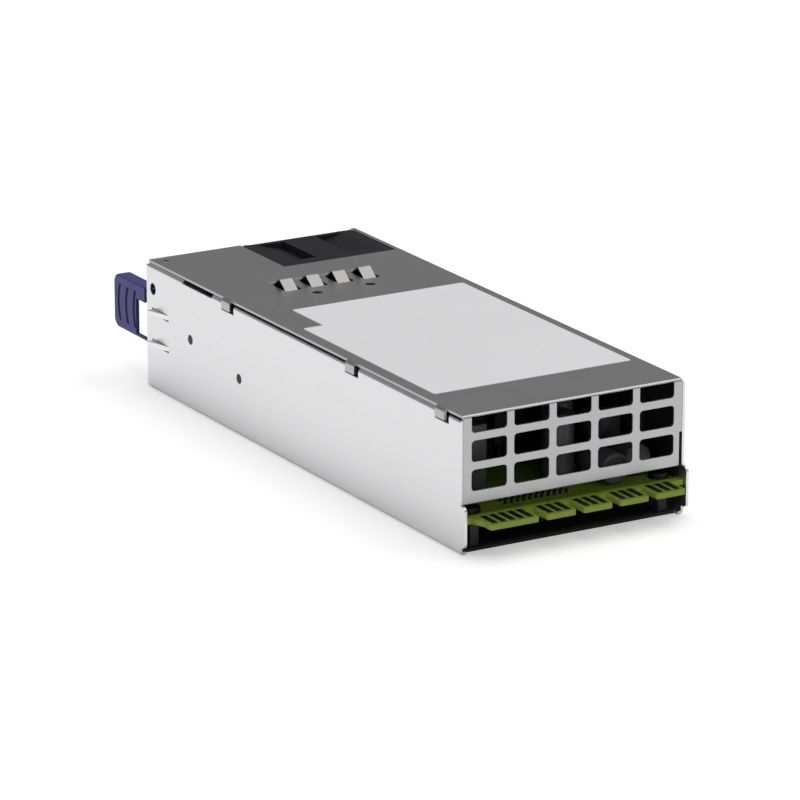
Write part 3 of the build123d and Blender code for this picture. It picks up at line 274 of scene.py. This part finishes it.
# A piece from closed loops carried along straight runs: point (i, k) is loop point i at station k, quads
# join neighbours round the loop and along the run, and each end is closed by one face.
def sweptPiece(name, loops, stations, finish):
    verts, faces, count = [], [], 0
    for loop, run in zip(loops, stations):
        points = loop[None, :, :] + run[:, None, :]
        size = len(loop)
        step = np.arange(size)
        along = np.arange(len(run) - 1)[:, None] * size
        near, far = along + step, along + (step + 1) % size
        quads = np.stack([near, far, far + size, near + size], axis=-1).reshape(-1, 4)
        verts.append(points.reshape(-1, 3))
        faces += (quads + count).tolist()
        faces.append((step[::-1] + count).tolist())
        faces.append((step + (len(run) - 1) * size + count).tolist())
        count += points.shape[0] * size
    mesh = bpy.data.meshes.new(name)
    mesh.from_pydata(np.concatenate(verts).tolist(), [], faces)
    mesh.materials.append(finishes[finish])
    piece = bpy.data.objects.new(name, mesh)
    bpy.context.scene.collection.objects.link(piece)
    return piece


# the outline of a cross with four equal arms, in its own plane: three corners of one arm, quarter-turned
def crossOutline(reach, half):
    corner = np.array([(half, half), (half, reach), (-half, reach)])
    turns = [np.array([(0, 1), (-1, 0)]) if turn % 2 else np.eye(2) for turn in range(4)]
    signs = (1, 1, -1, -1)
    return np.concatenate([sign * corner @ turn.T for sign, turn in zip(signs, turns)])


# painted shade for the cross recesses in the heads of the fan screws: a dark shallow cross laid on each flat
fanCross = dict(reach=0.0012, half=0.0003, height=0.00004, headRadius=0.0022, strap=0.0015)
low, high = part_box("fan_screws")
outline = crossOutline(fanCross["reach"], fanCross["half"])
loops, stations = [], []
leftX, rightX = low[0] + fanCross["headRadius"], high[0] - fanCross["headRadius"]
for x, seat in ((leftX, high[1]), (rightX, high[1] - fanCross["strap"])):
    for z in (low[2] + fanCross["headRadius"], high[2] - fanCross["headRadius"]):
        flat = np.full(len(outline), seat)
        loops.append(np.column_stack([outline[:, 0] + x, flat, outline[:, 1] + z])[::-1])
        stations.append(np.array([(0, 0, 0), (0, fanCross["height"], 0)]))
piece = sweptPiece("fan_screw_recess_shade", loops, stations, "blackOxide")
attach(piece, "case")

# painted shade for the lid screw's cross recess: a dark cross just below the screw's flat top
lidCross = dict(reach=0.00155, half=0.00022, depth=0.00008, height=0.00004)
low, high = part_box("cover_screw")
middle = (np.array(low) + np.array(high)) / 2
outline = crossOutline(lidCross["reach"], lidCross["half"]) + middle[:2]
bottom = np.full(len(outline), high[2] - lidCross["depth"])
loop = np.column_stack([outline, bottom])
run = np.array([(0, 0, 0), (0, 0, lidCross["height"])])
piece = sweptPiece("lid_screw_recess_shade", [loop], [run], "blackOxide")
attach(piece, "case")

# insulating sheets on the board beside the side walls: upright black films with a foot folded inwards, also
# painted shade that blackens the gaps seen into the case past them
sheetLook = dict(thick=0.00025, wallGap=0.0003, foot=0.0009, topGap=0.0001, screwHead=0.002)
sheetRuns = {"left": (-0.036, 0.0205), "right": (-0.0905, -0.074)}
boardLow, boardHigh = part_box("main_board")
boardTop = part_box("board_screws")[1][2] - sheetLook["screwHead"]
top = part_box("rear_panel")[1][2] - sheetLook["topGap"]
fold = boardTop + sheetLook["thick"]
for side, wallInside, inwards in (("left", boardLow[0], 1), ("right", boardHigh[0], -1)):
    near = wallInside + inwards * sheetLook["wallGap"]
    far = near + inwards * sheetLook["thick"]
    toe = near + inwards * sheetLook["foot"]
    profile = np.array([(near, boardTop), (near, top), (far, top), (far, fold), (toe, fold),
                        (toe, boardTop)])
    loop = np.column_stack([profile[:, 0], np.zeros(len(profile)), profile[:, 1]])[::inwards]
    run = np.array([(0, end, 0) for end in sheetRuns[side]])
    piece = sweptPiece(side + "_wall_insulator_and_shade", [loop], [run], "aramidSheet")
    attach(piece, "case")

# black film over the cut front edge of the steel floor, folded back on top and carried from wall to wall; its
# black is painted shade for that edge, which lies in shadow
lipLook = dict(thick=0.0002, sheetSetback=0.0012, grip=0.0004, drop=0.00075, half=0.0345)
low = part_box("floor_insulator")[0]
edge, floorTop = low[1] - lipLook["sheetSetback"], low[2]
back, outerEdge = edge + lipLook["grip"], edge - lipLook["thick"]
filmTop, foot = floorTop + lipLook["thick"], floorTop - lipLook["drop"]
profile = np.array([(back, floorTop), (back, filmTop), (outerEdge, filmTop), (outerEdge, foot),
                    (edge, foot), (edge, floorTop)])
loop = np.column_stack([np.zeros(len(profile)), profile])
run = np.array([(-lipLook["half"], 0, 0), (lipLook["half"], 0, 0)])
piece = sweptPiece("floor_edge_shade_film", [loop], [run], "aramidSheet")
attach(piece, "case")


# One side of the leaf spring's outline: a circular arc of so much bow over a chord, as places along the
# chord and heights above it. Its radius is half the chord squared plus the bow squared, over twice the bow.
def arcOver(chord, bow, steps):
    along = np.linspace(-0.5, 0.5, steps) * chord
    radius = (chord ** 2 / 4 + bow ** 2) / (2 * bow)
    return along, bow - radius + np.sqrt(radius ** 2 - along ** 2)


# bowed leaf under the latch's tail, carried up its own height and fixed with the case; on the real latch,
# pressing the tab flattens it on the bracket
leafLook = dict(thick=0.0003, steps=33, keep=0.18)
low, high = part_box("latch_spring")
chord, bow, middle = high[1] - low[1], high[0] - low[0], (low[1] + high[1]) / 2
outerAlong, outerRise = arcOver(chord, bow, leafLook["steps"])
innerAlong, innerRise = arcOver(chord - 2 * leafLook["thick"], bow - leafLook["thick"], leafLook["steps"])
rise = np.concatenate([outerRise, innerRise[::-1]])
along = np.concatenate([outerAlong, innerAlong[::-1]])
loop = np.column_stack([low[0] + rise, middle + along, np.zeros(len(rise))])
run = np.array([(0, 0, low[2]), (0, 0, high[2])])
piece = sweptPiece("latch_leaf", [loop], [run], "nickelSpring")
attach(piece, "case")
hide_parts("latch_spring")
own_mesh(piece)
print("added pieces made")

# floor: matt white, lifted to white where the camera and mirror-like surfaces see it, so shadows stay;
# the lift fades towards the case's footprint with the square root of the distance outside its rectangle, as a
# painted contact shadow round the case:
# a little where the camera sees it and more where the case's walls mirror it, which paints shade on the
# walls' lower parts
floorLook = dict(colour="#E6E6E6", lift=0.48, seenNear=0.42, mirrorNear=0.04, reach=0.022, half=6.0,
                 under=0.0002)


def makeFloor(look):
    half = look["half"]
    corners = np.array([(-1, -1), (1, -1), (1, 1), (-1, 1)]) * half
    mesh = bpy.data.meshes.new("studioFloor")
    mesh.from_pydata([(x, y, -look["under"]) for x, y in corners], [], [(0, 1, 2, 3)])
    floor = bpy.data.objects.new("studioFloor", mesh)
    bpy.context.scene.collection.objects.link(floor)
    material, tree = emptyMaterial("paintedFloor")
    path = addNode(tree, "ShaderNodeLightPath")
    seen = addNode(tree, "ShaderNodeMath",
                   {0: path.outputs["Is Camera Ray"], 1: path.outputs["Is Glossy Ray"]}, operation="MAXIMUM")
    seen = addNode(tree, "ShaderNodeMath",
                   {0: seen.outputs["Value"], 1: path.outputs["Is Transmission Ray"]}, operation="MAXIMUM")
    low, high = np.array(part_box("chassis"))
    place = addNode(tree, "ShaderNodeTexCoord").outputs["Object"]
    outside = addNode(tree, "ShaderNodeVectorMath", {0: place}, operation="SUBTRACT")
    outside.inputs[1].default_value = (low + high) / 2 * (1, 1, 0)
    outside = addNode(tree, "ShaderNodeVectorMath", {0: outside.outputs["Vector"]}, operation="ABSOLUTE")
    outside = addNode(tree, "ShaderNodeVectorMath", {0: outside.outputs["Vector"]}, operation="SUBTRACT")
    outside.inputs[1].default_value = (high - low) / 2 * (1, 1, 0) + (0, 0, look["under"])
    outside = addNode(tree, "ShaderNodeVectorMath", {0: outside.outputs["Vector"]}, operation="MAXIMUM")
    distance = addNode(tree, "ShaderNodeVectorMath", {0: outside.outputs["Vector"]}, operation="LENGTH")
    # painted contact shadow, and painted shade in the walls' reflections: the floor's lift drops near the
    # case
    nearLift = addNode(tree, "ShaderNodeMapRange", {"Value": path.outputs["Is Camera Ray"]},
                       **{"To Min": look["mirrorNear"], "To Max": look["seenNear"]})
    rootDistance = addNode(tree, "ShaderNodeMath", {0: distance.outputs["Value"]}, operation="SQRT")
    contactShadowFade = addNode(tree, "ShaderNodeMapRange",
                   {"Value": rootDistance.outputs["Value"], "To Min": nearLift.outputs["Result"]},
                   **{"From Max": look["reach"] ** 0.5, "To Max": look["lift"]})
    strength = addNode(tree, "ShaderNodeMath", {0: seen.outputs["Value"], 1: contactShadowFade.outputs["Result"]},
                       operation="MULTIPLY")
    paint = addNode(tree, "ShaderNodeBsdfDiffuse", Color=hexColour(look["colour"]))
    lift = addNode(tree, "ShaderNodeEmission", {"Strength": strength.outputs["Value"]})
    total = addNode(tree, "ShaderNodeAddShader", {0: paint.outputs["BSDF"], 1: lift.outputs["Emission"]})
    addNode(tree, "ShaderNodeOutputMaterial", {"Surface": total.outputs["Shader"]})
    mesh.materials.append(material)


makeFloor(floorLook)

# soft lamps: watts, edge in metres, place; all aim at the middle of the case
lampLook = {
    "overhead": dict(watts=19.6, edge=2.1, place=(0.45, -0.1, 1.6)),
    "leftFill": dict(watts=4.2, edge=1.2, place=(-1.45, -0.25, 0.7)),
    "frontFill": dict(watts=1.6, edge=0.9, place=(-0.2, -1.7, 0.5)),
}
caseMiddle = Vector((0.0, 0.0, 0.02))
for name, look in lampLook.items():
    lamp = bpy.data.lights.new(name, "AREA")
    lamp.energy = look["watts"]
    lamp.size = look["edge"]
    holder = bpy.data.objects.new(name, lamp)
    bpy.context.scene.collection.objects.link(holder)
    holder.location = look["place"]
    holder.rotation_euler = (caseMiddle - holder.location).to_track_quat("-Z", "Y").to_euler()
    holder.visible_camera = False

# air round the stage: grey where it lights and is mirrored, white where the camera sees it
airLook = dict(lit="#878788", seen="#FFFFFF")
world = bpy.data.worlds.new("studioAir")
bpy.context.scene.world = world
world.use_nodes = True
worldTree = world.node_tree
air = worldTree.nodes["Background"]
airPath = addNode(worldTree, "ShaderNodeLightPath")
seenAir = addNode(worldTree, "ShaderNodeMix", {"Factor": airPath.outputs["Is Camera Ray"]}, data_type="RGBA")
seenAir.inputs["A"].default_value = hexColour(airLook["lit"])
seenAir.inputs["B"].default_value = hexColour(airLook["seen"])
worldTree.links.new(seenAir.outputs["Result"], air.inputs["Color"])

# camera solved from the case's corners in the photograph
cameraLook = dict(place=(-0.743836, -1.270645, 0.469084), forward=(0.48181096, 0.82513075, -0.2949872),
                  lens=236.8, sensor=36.0)
cameraData = bpy.data.cameras.new("photoCamera")
cameraData.sensor_width = cameraLook["sensor"]
cameraData.lens = cameraLook["lens"]
camera = bpy.data.objects.new("photoCamera", cameraData)
bpy.context.scene.collection.objects.link(camera)
camera.location = cameraLook["place"]
camera.rotation_euler = Vector(cameraLook["forward"]).to_track_quat("-Z", "Y").to_euler()
bpy.context.scene.camera = camera
bpy.context.scene.view_settings.view_transform = "Standard"
print("stage and camera set")
